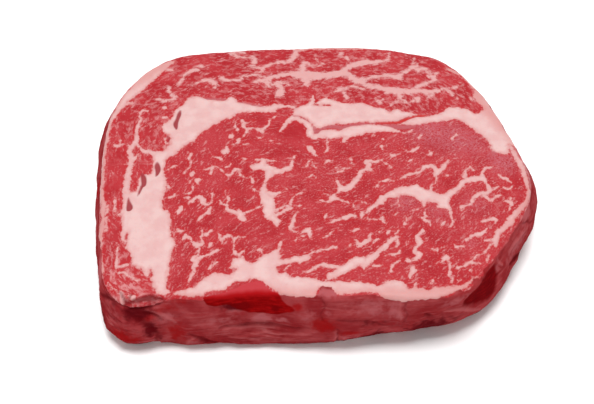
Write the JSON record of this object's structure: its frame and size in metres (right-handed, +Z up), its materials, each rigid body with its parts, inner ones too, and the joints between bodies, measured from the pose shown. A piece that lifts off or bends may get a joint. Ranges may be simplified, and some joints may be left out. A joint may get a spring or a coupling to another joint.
{
  "type": "raw beef steak",
  "caption": "Raw boneless rib-eye beef steak: a thick slab with two cut faces, a cap, an eye muscle, fat seams and fine marbling, lying flat.",
  "frame": {"origin": "under the middle of the steak's box, on the surface that it lies on", "axes": "+Z up through the cut faces, +X along the longer side of the cut face, +Y towards the cap muscle at the back"},
  "size_m": [0.1654, 0.1264, 0.0297],
  "materials": {
    "raw_beef": "moist raw meat: red lean with pale pink fat seams and marbling, satin with small wet highlights"
  },
  "bodies": {
    "root": {"steak": "raw_beef"}
  },
  "joints": []
}
